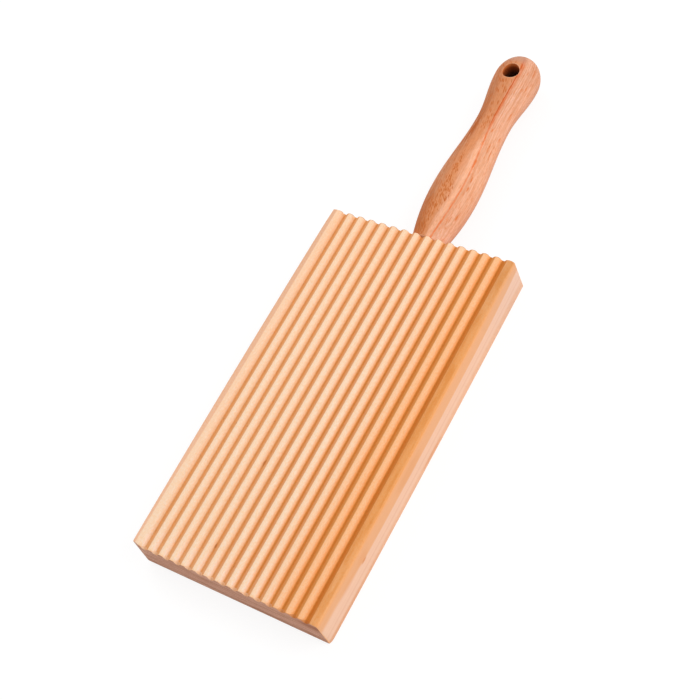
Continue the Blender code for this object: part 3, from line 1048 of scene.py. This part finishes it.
def pin_material():
    """Bare beech dowel: straight fibres along its length."""
    graph = Graph("pin beech")
    place = graph.place()
    fibre = graph.noise(place, (3, 0.08, 3), detail=3, roughness=0.6)
    colour = graph.mix(fibre, linear(214, 178, 138), linear(236, 204, 166))
    return graph.finish(colour, 0.7, 0.3, fibre, 0.00005)


# The studio


def make_floor():
    """A wide white floor. The camera sees it nearly white, with the object's shadow kept pale."""
    size = 6
    floor_glow = 1.08
    glow_share = 0.8
    shape = bmesh.new()
    bmesh.ops.create_grid(shape, x_segments=1, y_segments=1, size=size)
    floor = add_object("floor", shape)
    material = bpy.data.materials.new("studio floor")
    material.use_nodes = True
    tree = material.node_tree
    tree.nodes.clear()
    output = tree.nodes.new("ShaderNodeOutputMaterial")
    blend = tree.nodes.new("ShaderNodeMixShader")
    matt = tree.nodes.new("ShaderNodeBsdfDiffuse")
    matt.inputs["Color"].default_value = (0.9, 0.9, 0.9, 1)
    glow = tree.nodes.new("ShaderNodeEmission")
    glow.inputs["Strength"].default_value = floor_glow
    path = tree.nodes.new("ShaderNodeLightPath")
    share = tree.nodes.new("ShaderNodeMath")
    share.operation = "MULTIPLY"
    share.inputs[1].default_value = glow_share
    tree.links.new(path.outputs["Is Camera Ray"], share.inputs[0])
    tree.links.new(share.outputs[0], blend.inputs[0])
    tree.links.new(matt.outputs[0], blend.inputs[1])
    tree.links.new(glow.outputs[0], blend.inputs[2])
    tree.links.new(blend.outputs[0], output.inputs[0])
    floor.data.materials.append(material)


def make_world():
    """Soft fill from all round; the camera and mirror-like rays see plain white."""
    fill = 0.525
    world = bpy.data.worlds.new("studio")
    world.use_nodes = True
    tree = world.node_tree
    background = tree.nodes["Background"]
    background.inputs["Color"].default_value = (1, 1, 1, 1)
    path = tree.nodes.new("ShaderNodeLightPath")
    seen = tree.nodes.new("ShaderNodeMath")
    seen.operation = "MAXIMUM"
    tree.links.new(path.outputs["Is Camera Ray"], seen.inputs[0])
    tree.links.new(path.outputs["Is Glossy Ray"], seen.inputs[1])
    clear = tree.nodes.new("ShaderNodeMath")
    clear.operation = "MAXIMUM"
    tree.links.new(seen.outputs[0], clear.inputs[0])
    tree.links.new(path.outputs["Is Transmission Ray"], clear.inputs[1])
    strength = tree.nodes.new("ShaderNodeMapRange")
    strength.inputs["To Min"].default_value = fill
    strength.inputs["To Max"].default_value = 1
    tree.links.new(clear.outputs[0], strength.inputs["Value"])
    tree.links.new(strength.outputs[0], background.inputs["Strength"])
    bpy.context.scene.world = world


def aim(obj, place, target, roll=0):
    """Puts a lamp or camera at a place, looking at a target, turned about its own axis."""
    direction = Vector(target) - Vector(place)
    turn = direction.to_track_quat("-Z", "Y").to_matrix().to_4x4()
    obj.matrix_world = Matrix.Translation(place) @ turn @ Matrix.Rotation(roll, 4, "Z")


def make_lamp(name, direction, size, level):
    """A square soft lamp aimed at the board. Its light there is level times that of a plain white world."""
    distance = 1.5
    light = bpy.data.lights.new(name, "AREA")
    light.shape = "SQUARE"
    light.size = size
    light.energy = level * math.pi ** 2 * distance ** 2
    lamp = bpy.data.objects.new(name, light)
    bpy.context.scene.collection.objects.link(lamp)
    middle = Vector((0, 0, BOARD_THICKNESS))
    aim(lamp, middle + Vector(direction).normalized() * distance, middle)


def make_camera():
    """The camera from the right of the near end, turned about its axis as the photo shows."""
    place = (0.309022, -0.256930, 0.569120)
    target = (-0.002232, -0.030752, 0.02)
    roll = math.radians(-29.31)
    camera_data = bpy.data.cameras.new("camera")
    camera_data.sensor_width = 36
    camera_data.lens = 75.02
    camera = bpy.data.objects.new("camera", camera_data)
    bpy.context.scene.collection.objects.link(camera)
    aim(camera, place, target, roll)
    bpy.context.scene.camera = camera


# The whole scene

board = make_board()
board.data.materials.clear()
board.data.materials.append(beech_material())
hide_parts("ridged_board")
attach(board, "root")

handle = make_handle()
handle.data.materials.append(hardwood_material())
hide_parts("handle")
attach(handle, "root")

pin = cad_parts["dowel_pin"]
pin_wood = pin_material()
for slot in pin.material_slots:
    slot.material = pin_wood

make_floor()
make_world()
make_lamp("key", direction=(0.75, 0.25, 0.6), size=1, level=0.46)
make_lamp("low right", direction=(1, 0.1, 0.12), size=0.8, level=0.085)
make_lamp("left", direction=(-0.7, 0.35, 0.62), size=1.2, level=0.385)
make_camera()
bpy.context.scene.view_settings.view_transform = "Standard"
